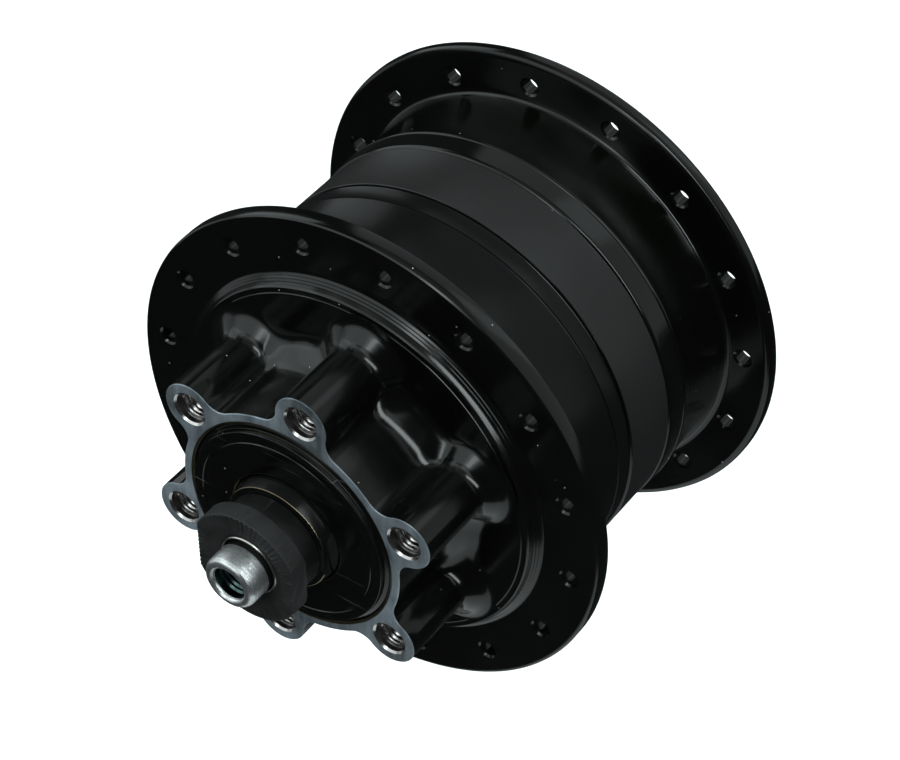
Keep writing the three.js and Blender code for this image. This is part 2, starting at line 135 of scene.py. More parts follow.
def turned(name, profile, sides, materials, smooth_angle=28.0, radial=None):
    """A ring turned about Y from a closed outline. radial(r, y, angle) may move a corner."""
    outline = rounded(profile)
    verts = []
    for r, y in outline:
        for j in range(sides):
            angle = 2 * math.pi * j / sides
            rr, yy = radial(r, y, angle) if radial else (r, y)
            verts.append((rr * math.cos(angle), yy, rr * math.sin(angle)))
    return mesh_object(name, verts, grid_faces(len(outline), sides), materials, smooth_angle)


def plug(levels, sides, centre=(0.0, 0.0)):
    """Corners and faces of a solid turned about an axis along Y, from (radius, y) levels."""
    verts = [
        (centre[0] + r * math.cos(2 * math.pi * j / sides), y,
         centre[1] + r * math.sin(2 * math.pi * j / sides))
        for r, y in levels for j in range(sides)
    ]
    faces = grid_faces(len(levels), sides, close_rows=False)
    last = (len(levels) - 1) * sides
    faces += [tuple(range(sides)), tuple(range(last, last + sides))]
    return verts, faces


def block(lo, hi):
    corners = [(x, y, z) for x in (lo[0], hi[0]) for y in (lo[1], hi[1]) for z in (lo[2], hi[2])]
    faces = [(0, 1, 3, 2), (4, 6, 7, 5), (0, 4, 5, 1), (2, 3, 7, 6), (0, 2, 6, 4), (1, 5, 7, 3)]
    return corners, faces


def several(parts):
    """Several closed shapes as one list of corners and one of faces."""
    verts, faces = [], []
    for part_verts, part_faces in parts:
        base = len(verts)
        verts += part_verts
        faces += [tuple(base + i for i in face) for face in part_faces]
    return verts, faces


def cut(obj, parts, smooth_angle=28.0):
    """Cuts the shapes from obj and keeps the result as its mesh."""
    tool = mesh_object(obj.name + "_tool", *several(parts), [])
    boolean = obj.modifiers.new("cut", "BOOLEAN")
    boolean.object, boolean.operation, boolean.solver = tool, "DIFFERENCE", "EXACT"
    bpy.context.view_layer.update()
    done = obj.evaluated_get(bpy.context.evaluated_depsgraph_get())
    mesh = bpy.data.meshes.new_from_object(done)
    obj.modifiers.clear()
    obj.data = mesh
    bpy.data.objects.remove(tool)
    shade(obj, smooth_angle)


def paint(obj, choose):
    """Sets each face's material number from its middle, in millimetres."""
    for face in obj.data.polygons:
        c = face.center / MM
        face.material_index = choose(math.hypot(c.x, c.z), c.y, c)


# ---- node helpers ----------------------------------------------------------------------------
MIX_FACTOR, MIX_A, MIX_B, MIX_RESULT = 0, 6, 7, 2  # a Mix node's sockets for colours


class Finish:
    """A material whose nodes are made one line at a time."""

    def __init__(self, name):
        self.material = bpy.data.materials.new(name)
        self.material.use_nodes = True
        self.tree = self.material.node_tree
        self.shader = self.tree.nodes["Principled BSDF"]
        self.position = self.tree.nodes.new("ShaderNodeTexCoord").outputs["Object"]
        self.bumps = None

    def node(self, kind, inputs=None, **settings):
        made = self.tree.nodes.new("ShaderNode" + kind)
        for key, value in settings.items():
            setattr(made, key, value)
        for key, value in (inputs or {}).items():
            self.give(made.inputs[key], value)
        return made

    def give(self, socket, value):
        if isinstance(value, bpy.types.NodeSocket):
            self.tree.links.new(value, socket)
        else:
            socket.default_value = value

    def set(self, **values):
        for key, value in values.items():
            label = key.replace("_", " ").title().replace("Ior", "IOR")
            self.give(self.shader.inputs[label], value)

    def scaled(self, scale):
        return self.node("Mapping", {"Vector": self.position, "Scale": scale}).outputs["Vector"]

    def noise(self, scale, detail=3.0, roughness=0.55, where=None):
        inputs = {"Vector": where or self.position, "Scale": scale, "Detail": detail,
                  "Roughness": roughness}
        return self.node("TexNoise", inputs).outputs["Fac"]

    def math(self, operation, a, b=0.0):
        return self.node("Math", {0: a, 1: b}, operation=operation).outputs["Value"]

    def span(self, value, low, high, to_low=0.0, to_high=1.0):
        inputs = {"Value": value, "From Min": low, "From Max": high, "To Min": to_low,
                  "To Max": to_high}
        return self.node("MapRange", inputs).outputs["Result"]

    def mix(self, factor, a, b):
        made = self.node("Mix", data_type="RGBA")
        for index, value in ((MIX_FACTOR, factor), (MIX_A, a), (MIX_B, b)):
            self.give(made.inputs[index], value)
        return made.outputs[MIX_RESULT]

    def bump(self, height, strength, distance):
        inputs = {"Height": height, "Strength": strength, "Distance": distance}
        if self.bumps:
            inputs["Normal"] = self.bumps
        self.bumps = self.node("Bump", inputs).outputs["Normal"]
        self.give(self.shader.inputs["Normal"], self.bumps)

    def radius(self):
        """Distance from the hub's axis, in metres."""
        parts = self.node("SeparateXYZ", {0: self.position})
        x2 = self.math("POWER", parts.outputs["X"], 2.0)
        z2 = self.math("POWER", parts.outputs["Z"], 2.0)
        return self.math("SQRT", self.math("ADD", x2, z2))

    def lines_along(self, value, pitch, detail=2.0, roughness=0.8):
        """Uneven fine lines across a length, from noise in that length alone."""
        where = self.node("CombineXYZ", {"X": value}).outputs["Vector"]
        return self.noise(1.0 / (pitch * MM), detail, roughness, where)

    def along_axis(self):
        return self.node("SeparateXYZ", {0: self.position}).outputs["Y"]


def grey(value, tint=(1.0, 1.0, 1.0)):
    return (value * tint[0], value * tint[1], value * tint[2], 1.0)


# ---- materials -------------------------------------------------------------------------------
DUST_SCALE = 650.0
SPECK_SIZE = 0.065
OLIVE = (0.95, 1.25, 0.8)


def dusted(finish, base, dust, bare_share):
    """Sparse light specks of dust over a base colour. bare_share of the cells hold none."""
    cells = finish.node("TexVoronoi", {"Vector": finish.position, "Scale": DUST_SCALE})
    pick = finish.node("SeparateColor", {0: cells.outputs["Color"]}).outputs[0]
    lone = finish.math("GREATER_THAN", pick, bare_share)
    near = finish.math("LESS_THAN", cells.outputs["Distance"], SPECK_SIZE)
    specks = finish.math("MULTIPLY", lone, near)
    return finish.mix(specks, base, dust), specks


def gloss_black(name, base=0.001, rough=(0.13, 0.21), peel=0.04, bare_share=0.9):
    """Sprayed gloss black with a little orange peel and dust."""
    made = Finish(name)
    cloud = made.noise(70.0, 4.0)
    colour = made.mix(made.span(cloud, 0.35, 0.7), grey(base, OLIVE), grey(base * 1.7))
    colour, specks = dusted(made, colour, grey(0.34), bare_share)
    roughness = made.math("ADD", made.span(cloud, 0.3, 0.75, *rough),
                          made.math("MULTIPLY", specks, 0.4))
    made.set(base_color=colour, roughness=roughness)
    made.bump(made.noise(520.0, 2.0), peel, 0.0002)
    return made


def scratched(name, base, rough, amount):
    """Gloss black with specks and faint hairline scratches, for the dust caps."""
    made = gloss_black(name, base, rough, 0.08, 0.87)
    lines = None
    for angle, stretch in ((0.5, 30.0), (1.9, 45.0), (2.7, 38.0)):
        turned_round = made.node("Mapping", {"Vector": made.position, "Rotation": (0.0, angle, 0.0),
                                             "Scale": (stretch, 1.0, 1500.0)}).outputs["Vector"]
        field = made.noise(1.0, 2.0, 0.6, turned_round)
        hair = made.span(field, 0.68, 0.74)
        lines = hair if lines is None else made.math("MAXIMUM", lines, hair)
    colour = made.shader.inputs["Base Color"].links[0].from_socket
    made.set(base_color=made.mix(made.math("MULTIPLY", lines, amount), colour, grey(0.09)))
    made.bump(lines, 0.08, 0.00005)
    return made


def turned_black(name, base, rough, pitch, strength, specular):
    """Black over fine lathe marks."""
    made = Finish(name)
    lines = made.lines_along(made.along_axis(), pitch)
    cloud = made.noise(55.0, 3.0)
    tone = made.math("ADD", made.math("MULTIPLY", lines, 0.7), made.math("MULTIPLY", cloud, 0.3))
    colour = made.mix(made.span(tone, 0.35, 0.68), grey(base), grey(base * 2.2))
    colour, specks = dusted(made, colour, grey(0.14), 0.965)
    roughness = made.math("ADD", made.span(tone, 0.3, 0.7, *rough),
                          made.math("MULTIPLY", specks, 0.3))
    made.set(base_color=colour, roughness=roughness, specular_ior_level=specular)
    made.bump(lines, strength, 0.00006)
    return made


def bare_aluminium(name):
    """A faced surface: arcs round the axis, soft patches and scratches."""
    made = Finish(name)
    arcs = made.lines_along(made.radius(), 0.16, 3.0)
    patches = made.noise(105.0, 3.0)
    scratches = made.noise(900.0, 2.0, where=made.scaled((1.0, 0.05, 0.12)))
    tone = made.math("ADD", made.math("MULTIPLY", arcs, 0.3),
                     made.math("ADD", made.math("MULTIPLY", patches, 0.55),
                               made.math("MULTIPLY", scratches, 0.15)))
    colour = made.mix(made.span(tone, 0.4, 0.6), grey(0.07, (0.84, 1.0, 1.1)),
                      grey(0.36, (0.84, 1.0, 1.12)))
    made.set(base_color=colour, metallic=0.55, roughness=made.span(tone, 0.35, 0.65, 0.46, 0.3))
    made.bump(arcs, 0.25, 0.00005)
    made.bump(patches, 0.1, 0.0002)
    return made


def metal(name, dark, light, rough, tint, pitch, strength, metallic=1.0, patch_scale=130.0):
    """Worked metal: uneven lines round the axis over soft patches of tone."""
    made = Finish(name)
    lines = made.lines_along(made.along_axis(), pitch, 3.0)
    patches = made.noise(patch_scale, 4.0)
    tone = made.math("ADD", made.math("MULTIPLY", lines, 0.5), made.math("MULTIPLY", patches, 0.5))
    colour = made.mix(made.span(tone, 0.36, 0.64), grey(dark, tint), grey(light, tint))
    made.set(base_color=colour, metallic=metallic, roughness=made.span(tone, 0.35, 0.65, *rough))
    made.bump(lines, strength, 0.00006)
    return made


def black_oxide(name, base, rough, grain=0.35, specular=0.5):
    """Dark oxidised steel, lighter where its edges are worn."""
    made = Finish(name)
    patches = made.noise(240.0, 4.0)
    fine = made.noise(2600.0, 2.0)
    edge = made.span(made.node("NewGeometry").outputs["Pointiness"], 0.53, 0.6)
    tone = made.mix(made.span(patches, 0.35, 0.65), grey(base * 0.7),
                    grey(base * 1.25, (1.0, 1.03, 1.05)))
    made.set(base_color=made.mix(made.math("MULTIPLY", edge, 0.55), tone, grey(base * 4.5)),
             metallic=0.35, roughness=made.span(patches, 0.3, 0.7, *rough),
             specular_ior_level=specular)
    made.bump(fine, grain, 0.00004)
    return made


def moulded(name, colour, rough, grain=900.0, strength=0.12):
    """Plastic, rubber or sintered stock with a fine grain."""
    made = Finish(name)
    cloud = made.noise(90.0, 4.0)
    lighter = tuple(min(1.0, c * 1.35) for c in colour)
    made.set(base_color=made.mix(made.span(cloud, 0.35, 0.65), (*colour, 1.0), (*lighter, 1.0)),
             roughness=made.span(cloud, 0.35, 0.65, *rough))
    made.bump(made.noise(grain, 2.0), strength, 0.00008)
    return made


def wound_copper(name, pitch):
    """Enamelled wire laid in close turns: round crests across the winding."""
    made = Finish(name)
    turns = made.math("SINE", made.math("MULTIPLY", made.along_axis(), 2 * math.pi / (pitch * MM)))
    cloud = made.noise(150.0, 3.0)
    made.set(base_color=made.mix(made.span(turns, -1.0, 1.0), grey(0.2, (1.0, 0.36, 0.16)),
                                 grey(0.62, (1.0, 0.42, 0.2))),
             metallic=1.0, roughness=made.span(cloud, 0.3, 0.7, 0.22, 0.38))
    made.bump(turns, 0.8, 0.0002)
    return made


SHELL_GLOSS = gloss_black("shell_gloss_black")
SHELL_TURNED = turned_black("shell_turned_black", 0.0018, (0.2, 0.28), 0.14, 0.14, 0.24)
SHELL_SATIN = turned_black("shell_satin_band", 0.006, (0.3, 0.4), 0.12, 0.12, 0.36)
FACE_BARE = bare_aluminium("rotor_face_bare_aluminium")
CAP_GLOSS = scratched("dust_cap_gloss", 0.001, (0.09, 0.22), 0.45)
OXIDE = black_oxide("black_oxide_steel", 0.013, (0.5, 0.66))
# Rough black oxide for the spacer neck; on the axle beside each locknut the same finish is painted
# shade.
OXIDE_ROUGH_AND_SHADE = black_oxide("black_oxide_rough_and_painted_shade", 0.006, (0.3, 0.5), 1.0)
BORE_EDGE = metal("bore_edge_olive", 0.12, 0.5, (0.34, 0.24), (1.0, 0.86, 0.55), 0.2, 0.2)
WORN_EDGE = metal("worn_bright_edge", 0.45, 0.8, (0.3, 0.2), (1.0, 0.97, 0.9), 0.2, 0.2)
ZINC = metal("zinc_plated_axle", 0.42, 1.0, (0.42, 0.2), (0.96, 1.0, 1.0), 0.2, 1.0, 0.96, 620.0)
# Painted shade: the bore's teal-tinted zinc is made much darker than the outside of the axle.
ZINC_BORE_SHADE = metal("axle_bore_painted_shade", 0.05, 0.2, (0.34, 0.2), (0.62, 1.0, 0.98), 0.3, 0.4)
THREAD = metal("bolt_thread_bare", 0.35, 0.85, (0.26, 0.16), (1.0, 0.98, 0.95), 0.5, 0.1)
# Painted shade: a dark metal for the bolt holes' bores below their chamfers, standing in for the
# shade inside the holes.
BOLT_HOLE_SHADE = metal("bolt_hole_wall_painted_shade", 0.06, 0.22, (0.4, 0.26), (1.0, 0.98, 0.95), 0.3, 0.4)
CONE_STEEL = black_oxide("cone_dark_steel", 0.005, (0.16, 0.26), 0.1, 0.25)
BEARING = metal("bearing_steel_polished", 0.5, 0.7, (0.16, 0.08), (1.0, 1.0, 1.02), 0.4, 0.05)
IRON = metal("pressed_soft_iron", 0.2, 0.36, (0.5, 0.38), (1.0, 0.99, 0.97), 0.6, 0.1)
FERRITE = moulded("sintered_ferrite", (0.035, 0.035, 0.04), (0.55, 0.7), 1500.0, 0.3)
RUBBER = moulded("black_rubber", (0.012, 0.012, 0.012), (0.6, 0.8), 1200.0, 0.2)
NYLON = moulded("natural_nylon", (0.6, 0.55, 0.44), (0.35, 0.5))
PLASTIC = moulded("black_plastic", (0.012, 0.012, 0.013), (0.34, 0.5), 1600.0, 0.18)
BRASS = metal("terminal_brass", 0.4, 0.62, (0.34, 0.22), (1.0, 0.8, 0.42), 0.3, 0.15)
COPPER = wound_copper("enamelled_copper_winding", 0.55)
WIRE = metal("enamelled_copper_wire", 0.35, 0.6, (0.3, 0.2), (1.0, 0.42, 0.2), 0.5, 0.05)


def finishes(*made):
    return [f.material for f in made]


# ---- hub shell -------------------------------------------------------------------------------
def lobe(post_r, barrel_r, fillet_r):
    """(angle, radius) of half a lobe of the rotor mount, from the post's crown to the barrel."""
    centre_r, reach = barrel_r + fillet_r, post_r + fillet_r
    fillet_angle = math.acos(
        (BOLT_CIRCLE_R**2 + centre_r**2 - reach**2) / (2 * BOLT_CIRCLE_R * centre_r))
    cx, cy = centre_r * math.cos(fillet_angle), centre_r * math.sin(fillet_angle)
    tangent = math.atan2(cy, cx - BOLT_CIRCLE_R)
    points = []
    for i in range(LOBE_STEPS):
        a = tangent * i / LOBE_STEPS
        points.append((BOLT_CIRCLE_R + post_r * math.cos(a), post_r * math.sin(a)))
    start = tangent + math.pi
    end = fillet_angle + math.pi
    for i in range(FILLET_STEPS):
        a = start + (end - start) * i / FILLET_STEPS
        points.append((cx + fillet_r * math.cos(a), cy + fillet_r * math.sin(a)))
    half = math.pi / BOLTS
    for i in range(RING_STEPS):
        a = fillet_angle + (half - fillet_angle) * i / RING_STEPS
        points.append((barrel_r * math.cos(a), barrel_r * math.sin(a)))
    points.append((barrel_r * math.cos(half), barrel_r * math.sin(half)))
    return [(math.atan2(y, x), math.hypot(x, y)) for x, y in points]


def lobed_row(post_r=POST_R, barrel_r=BARREL_R, fillet_r=FILLET_R):
    """Angle and radius of every column round the mount's outline."""
    half = lobe(post_r, barrel_r, fillet_r)
    pitch = 2 * math.pi / BOLTS
    whole = half[:-1] + [(pitch - a, r) for a, r in reversed(half[1:])]
    phase = math.radians(BOLT_PHASE)
    return [(phase - k * pitch - a, r) for k in range(BOLTS) for a, r in whole]


MOUNT_ROW = lobed_row()
EVEN_ANGLES = [math.radians(BOLT_PHASE) - 2 * math.pi * j / COLUMNS for j in range(COLUMNS)]


def round_row(radius, evenness=1.0):
    """A circle whose columns run from the mount's spacing (0) to even spacing (1)."""
    return [(a + (e - a) * evenness, radius) for (a, _), e in zip(MOUNT_ROW, EVEN_ANGLES)]


def level(row, y):
    """A row of columns, all at the same height along the axis."""
    return [(a, r, y) for a, r in row]


def skirt(length, flare, start_round, end_round):
    """(flare, y) stations of a cone that ends at FOOT_END, rounded off at both ends."""
    start, run_out = FOOT_END - length, 3.0
    outline = [(0.0, start - run_out), (0.0, start, start_round), (flare, FOOT_END, end_round),
               (flare + run_out, FOOT_END)]
    return rounded(outline, SKIRT_STEPS)[1:-1]


def web_shares():
    """How far each column of a lobed row is from the posts (0) towards the web between them (1)."""
    half = [0.0] * LOBE_STEPS
    half += [(1 - math.cos(math.pi * i / FILLET_STEPS)) / 2 for i in range(FILLET_STEPS)]
    half += [1.0] * (RING_STEPS + 1)
    return (half[:-1] + half[:0:-1]) * BOLTS


def foot_rows():
    """Where the posts and the web between them flare out into the domed face."""
    shares = web_shares()
    rows = []
    for (post, post_y), (web, web_y) in zip(skirt(**POST_SKIRT), skirt(**WEB_SKIRT)):
        fillet = FILLET_R + SKIRT_FILLET_GAIN * post / POST_SKIRT["flare"]
        outline = lobed_row(POST_R + post, BARREL_R + web, fillet)
        rows.append([(a, r, post_y + (web_y - post_y) * share)
                     for (a, r), share in zip(outline, shares)])
    return rows


DOME_EDGE = (29.5, -24.2)
LEFT_OUTER = [
    (29.66, -24.2), (29.78, -24.16), (29.84, -24.08), (29.87, -23.97), (30.0, -23.95),
    (30.66, -23.95), (30.72, -23.9), (30.9, -23.5), (30.93, -23.5), (31.1, -23.12),
    (31.13, -23.12), (31.17, -22.98), (31.42, -22.76), (31.46, -22.6), (31.72, -22.36),
    (31.76, -22.2), (32.02, -21.95), (32.2, -21.86), (32.4, -21.82), (32.75, -21.82),
    (34.9, -21.82), (39.2, -21.82), (40.65, -21.82), (40.82, -21.82), (41.1, -21.75), (41.32, -21.55),
    (41.4, -21.3), (41.4, -19.3), (41.32, -19.05), (41.1, -18.85), (40.85, -18.78), (40.7, -18.78),
    (39.2, -18.78), (34.9, -18.78), (34.7, -18.78), (34.5, -18.76), (33.9, -18.5), (33.5, -18.1),
    (33.3, -17.6),
]
BARREL = [
    (33.12, -17.4), (33.12, -17.1), (33.4, -16.95), (33.44, -15.6), (33.34, -15.5),
    (33.34, -15.38), (33.46, -15.3), (33.55, -4.4), (33.6, -4.3), (33.45, -4.22), (33.45, -4.08),
    (33.6, -4.0), (33.64, -1.3), (33.69, -1.2), (33.54, -1.12), (33.54, -0.98), (33.84, -0.84),
    (33.92, -0.72), (33.92, 9.05), (33.96, 9.14), (33.8, 9.22), (33.8, 9.36), (33.9, 9.42),
    (34.02, 9.54), (34.1, 9.7), (34.15, 9.9), (34.17, 10.2), (34.22, 13.0), (34.22, 13.1),
    (34.1, 13.2), (34.1, 13.32), (34.2, 13.38), (34.28, 13.5), (34.3, 13.65), (34.26, 13.85),
    (34.15, 14.4), (34.0, 15.4), (33.86, 16.8), (33.76, 18.4), (33.7, 20.0), (33.7, 21.2),
    (33.74, 22.4), (33.84, 23.5), (34.0, 24.6), (34.12, 25.08), (34.2, 25.2), (34.3, 25.35),
    (34.55, 25.5), (35.0, 25.6),
]
RIGHT_OUTER = [
    (35.2, 25.6), (39.4, 25.6), (40.7, 25.6), (40.9, 25.6), (41.3, 25.68), (41.7, 25.95),
    (41.88, 26.3), (41.9, 26.6), (41.9, 27.3), (41.84, 27.65), (41.6, 27.98), (41.2, 28.15),
    (40.85, 28.2), (40.7, 28.2), (39.4, 28.2), (35.0, 28.2), (34.5, 28.2), (34.4, 28.1),
    (34.4, 27.7),
]
CAVITY = [
    (31.1, 27.7), (31.0, 27.6), (31.0, 24.4), (30.2, 24.2), (30.2, 3.0), (30.2, -18.5),
    (26.0, -22.0), (9.0, -22.0), (9.0, -29.6), (13.4, -29.6), (13.4, -37.6),
]


def shell_rows():
    """The shell's skin as rows of one closed grid, from the rotor face round to the cavity."""
    edge_r, edge_y = DOME_EDGE
    rows = [
        level(round_row(CAP_SEAT_R + LIP_WIDTH, 0.0), ROTOR_FACE),
        level([(a, r - BEVEL) for a, r in MOUNT_ROW], ROTOR_FACE),
        level(MOUNT_ROW, ROTOR_FACE + BEVEL),
        level(MOUNT_ROW, -36.0),
    ]
    rows += foot_rows()
    foot = rows[-1]
    for share in (0.3, 0.6, 0.85, 1.0):
        rows.append([(a + (e - a) * share, r + (edge_r - r) * share, y + (edge_y - y) * share)
                     for (a, r, y), e in zip(foot, EVEN_ANGLES)])
    rows += [level(round_row(r), y) for r, y in LEFT_OUTER + BARREL + RIGHT_OUTER + CAVITY]
    rows += [level(round_row(CAP_SEAT_R, 0.5), -37.6),
             level(round_row(CAP_SEAT_R, 0.0), ROTOR_FACE + LIP_DEPTH)]
    return rows


def bolt_axes():
    """(x, z) of the axis of every rotor bolt."""
    angles = [math.radians(BOLT_PHASE + k * 360 / BOLTS) for k in range(BOLTS)]
    return [(BOLT_CIRCLE_R * math.cos(a), BOLT_CIRCLE_R * math.sin(a)) for a in angles]


BOLT_AXES = bolt_axes()
BOLT_HOLE_R, BOLT_WALL_R, BOLT_MOUTH_R = 2.6, 3.05, 3.3
BOLT_HOLE = [(BOLT_MOUTH_R, ROTOR_FACE - 0.4), (BOLT_HOLE_R, ROTOR_FACE + 0.3),
             (BOLT_HOLE_R, -38.4), (2.52, -38.3), (2.52, -28.6)]
SHELL_FINISHES = (SHELL_GLOSS, SHELL_TURNED, SHELL_SATIN, FACE_BARE, THREAD, BORE_EDGE, BOLT_HOLE_SHADE)
GLOSS, TURNED, SATIN, BARE, THREADED, EDGE, SHADED_WALL = range(len(SHELL_FINISHES))
BANDS = [((-16.9, -1.4), (33.2, 34.6), TURNED), ((-0.7, 9.2), (33.9, 34.6), SATIN)]


def spoke_holes(face, back, hole_r, phase):
    """Tools for the holes of one flange, flared at both ends."""
    flare, reach, sides = 0.3, 0.4, 24
    front, rear = sorted((face, back))
    mouth = SPOKE_HOLE_R + flare + reach
    levels = [(mouth, front - reach), (SPOKE_HOLE_R, front + flare), (SPOKE_HOLE_R, rear - flare),
              (mouth, rear + reach)]
    angles = [math.radians(phase + i * 360 / SPOKES) for i in range(SPOKES)]
    return [plug(levels, sides, (hole_r * math.cos(a), hole_r * math.sin(a))) for a in angles]


def shell_finish(r, y, centre):
    """Which of SHELL_FINISHES a face of the shell has."""
    margin, skin = 0.01, 0.001
    depth = y - ROTOR_FACE
    from_bolt = min(math.hypot(centre.x - x, centre.z - z) for x, z in BOLT_AXES)
    on_bevel = depth < BEVEL - margin and r > CAP_SEAT_R + LIP_WIDTH + margin
    if depth < skin or (on_bevel and from_bolt > BOLT_MOUTH_R):
        return BARE
    if depth < LIP_DEPTH - margin and r < CAP_SEAT_R + LIP_WIDTH - margin:
        return EDGE
    # Painted shade: inside each bolt hole, the bore below the bright chamfer takes the dark
    # shade-standing metal.
    if y < BOLT_HOLE[-1][1] + 0.6 and from_bolt < BOLT_WALL_R:
        return THREADED if from_bolt > BOLT_HOLE_R + margin else SHADED_WALL
    for (start, end), (inner, outer), number in BANDS:
        if start < y < end and inner < r < outer:
            return number
    return GLOSS


def hub_shell():
    rows = shell_rows()
    verts = [(r * math.cos(a), y, r * math.sin(a)) for row in rows for a, r, y in row]
    faces = grid_faces(len(rows), COLUMNS)
    obj = mesh_object("shell_body", verts, faces, finishes(*SHELL_FINISHES))
    tools = [tool for flange in FLANGES.values() for tool in spoke_holes(**flange)]
    tools += [plug(BOLT_HOLE, BOLT_SIDES, axis) for axis in BOLT_AXES]
    cut(obj, tools)
    paint(obj, shell_finish)
    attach(obj, "shell")
    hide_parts("hub_shell")


def bolt_threads():
    """Six sleeves with a helical thread inside, one in each rotor bolt hole."""
    sides, per_pitch, pitch = 20, 6, 0.8
    minor, major, outer = 2.08, 2.4, 2.5
    crest_gain = 1.25
    steps = round((THREAD_END - THREAD_TOP) / pitch * per_pitch)
    parts = []
    for x, z in BOLT_AXES:
        verts = []
        for row in range(-1, steps + 2):
            i = min(max(row, 0), steps)
            y = THREAD_TOP + (THREAD_END - THREAD_TOP) * i / steps
            for j in range(sides):
                turn = (y - THREAD_TOP) / pitch + j / sides
                wave = abs((turn % 1.0) * 2 - 1)
                groove = major - (major - minor) * min(1.0, wave * crest_gain)
                r = groove if row == i else outer
                angle = 2 * math.pi * j / sides
                verts.append((x + r * math.cos(angle), y, z + r * math.sin(angle)))
        parts.append((verts, grid_faces(steps + 3, sides)))
    obj = mesh_object("rotor_bolt_threads", *several(parts), finishes(THREAD), 50.0)
    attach(obj, "shell")


hub_shell()
bolt_threads()


# ---- dust caps, cones, spacers, locknuts -----------------------------------------------------
def flats(face, depth, side):
    """Blocks that cut two spanner flats, from one end face to a depth."""
    reach = 12
    near, far = sorted((side * (face + 1), side * (face - depth)))
    return [block((-reach, near, -reach), (-NUT_FLAT, far, reach)),
            block((NUT_FLAT, near, -reach), (reach, far, reach))]


def placed(profile, side):
    return profile if side < 0 else flipped(profile)


def dust_cap(name, outer, front, side):
    """Pressed plate with a ring groove near its rim and a bright edge round its bore."""
    bore, groove = 9.6, 0.12
    profile = [
        (bore, -front, 0.15), (outer - 2.6, -front), (outer - 2.5, -front + groove),
        (outer - 2.3, -front + groove), (outer - 2.2, -front), (outer - 0.7, -front, 0.15),
        (outer - 0.62, -front + 0.95, 0.1), (outer, -front + 1.2, 0.15), (outer, -37.8),
        (outer - 2, -37.8), (outer - 2, -front + 1.4), (bore, -front + 1.4),
    ]
    edge_r, edge_y = bore + 0.18, front - 0.12
    obj = turned(name + "_dust_cap_plate", placed(profile, side), COLLAR_SIDES,
                 finishes(CAP_GLOSS, BORE_EDGE))
    paint(obj, lambda r, y, centre: 1 if r < edge_r and abs(y) > edge_y else 0)
    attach(obj, "shell")
    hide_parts(name + "_dust_cap")


def cone(name, front, side):
    """Bearing cone: ball race inside, a collar with two flats outside."""
    ball_circle, bearing_y, race_r = 9.4, -33.6, 2.6
    race = [(ball_circle + race_r * math.cos(math.radians(a)),
             bearing_y + race_r * math.sin(math.radians(a))) for a in range(260, 179, -10)]
    profile = [
        (4.5, -front + 0.3), (4.8, -front), (8.85, -front, 0.12), (9.25, -front + 1.8, 0.1),
        (9.25, -37.3, 0.1), *race, (6.8, -30.8), (4.5, -30.8),
    ]
    edge_r, edge_y = 8.72, front - 0.14
    obj = turned(name + "_cone_collar", placed(profile, side), COLLAR_SIDES,
                 finishes(CONE_STEEL, BORE_EDGE))
    cut(obj, flats(front, 2.4, side))
    paint(obj, lambda r, y, centre: 1 if r > edge_r and abs(y) > edge_y else 0)
    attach(obj, "axle")
    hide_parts(name + "_cone")


def locknut(name, side):
    """Dished face with radial teeth, deepest at the rim, and a worn ring round the bore."""
    teeth, per_tooth, depth = 66, 4, 0.17
    tooth_shape = (0.0, 0.25, 1.0, 0.25)
    inner, full, outer, rim = 5.6, 7.2, 9.3, 9.4
    face, dish_floor = -LOCKNUT_FACE, LOCKNUT_FACE - 0.7
    uneven = random.Random(11)
    depths = [depth * uneven.uniform(0.45, 1.0) for _ in range(teeth)]

    def serrate(r, y, angle):
        if not dish_floor <= abs(y) <= LOCKNUT_FACE + 0.7 or not inner <= r <= rim:
            return r, y
        share = min(1.0, max(0.0, (r - inner) / (full - inner)))
        step = int(round(angle / (2 * math.pi) * teeth * per_tooth)) % (teeth * per_tooth)
        sink = depths[step // per_tooth] * share * tooth_shape[step % per_tooth]
        return r, y + (sink if side < 0 else -sink)

    profile = [
        (4.5, face + 1.1), (4.56, face + 0.86), (4.62, face + 0.74), (4.72, face + 0.68),
        (4.86, face + 0.72), (4.97, face + 0.84), (5.05, face + 0.86), (inner, face + 0.6),
        (6.1, face + 0.4), (6.7, face + 0.12), (full, face), (7.6, face), (8.6, face),
        (outer, face), (9.42, face + 0.1), (9.5, face + 0.22), (9.5, -46.9, 0.15), (9.1, -46.6),
        (4.9, -46.6), (4.5, -46.9),
    ]
    ring_r, ring_y = 4.98, LOCKNUT_FACE - 0.98
    obj = turned(name + "_serrated_locknut", placed(profile, side), teeth * per_tooth,
                 finishes(OXIDE, WORN_EDGE), smooth_angle=20.0, radial=serrate)
    cut(obj, flats(LOCKNUT_FACE, 4.0, side), smooth_angle=20.0)
    paint(obj, lambda r, y, centre: 1 if r < ring_r and abs(y) > ring_y else 0)
    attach(obj, "axle")
    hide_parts(name + "_locknut")


for side_name, side, cone_front, cap_r, cap_front in (
        ("left", -1, 42.6, 17.55, 40.4), ("right", 1, 40.9, 15.1, 40.2)):
    dust_cap(side_name, cap_r, cap_front, side)
    cone(side_name, cone_front, side)
    locknut(side_name, side)

SPACER = [(4.5, -46.5), (7.9, -46.5, 0.2), (7.9, -42.7, 0.2), (4.5, -42.7)]
spacer = turned("left_spacer_neck", SPACER, COLLAR_SIDES, finishes(OXIDE_ROUGH_AND_SHADE))
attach(spacer, "axle")
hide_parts("left_spacer")


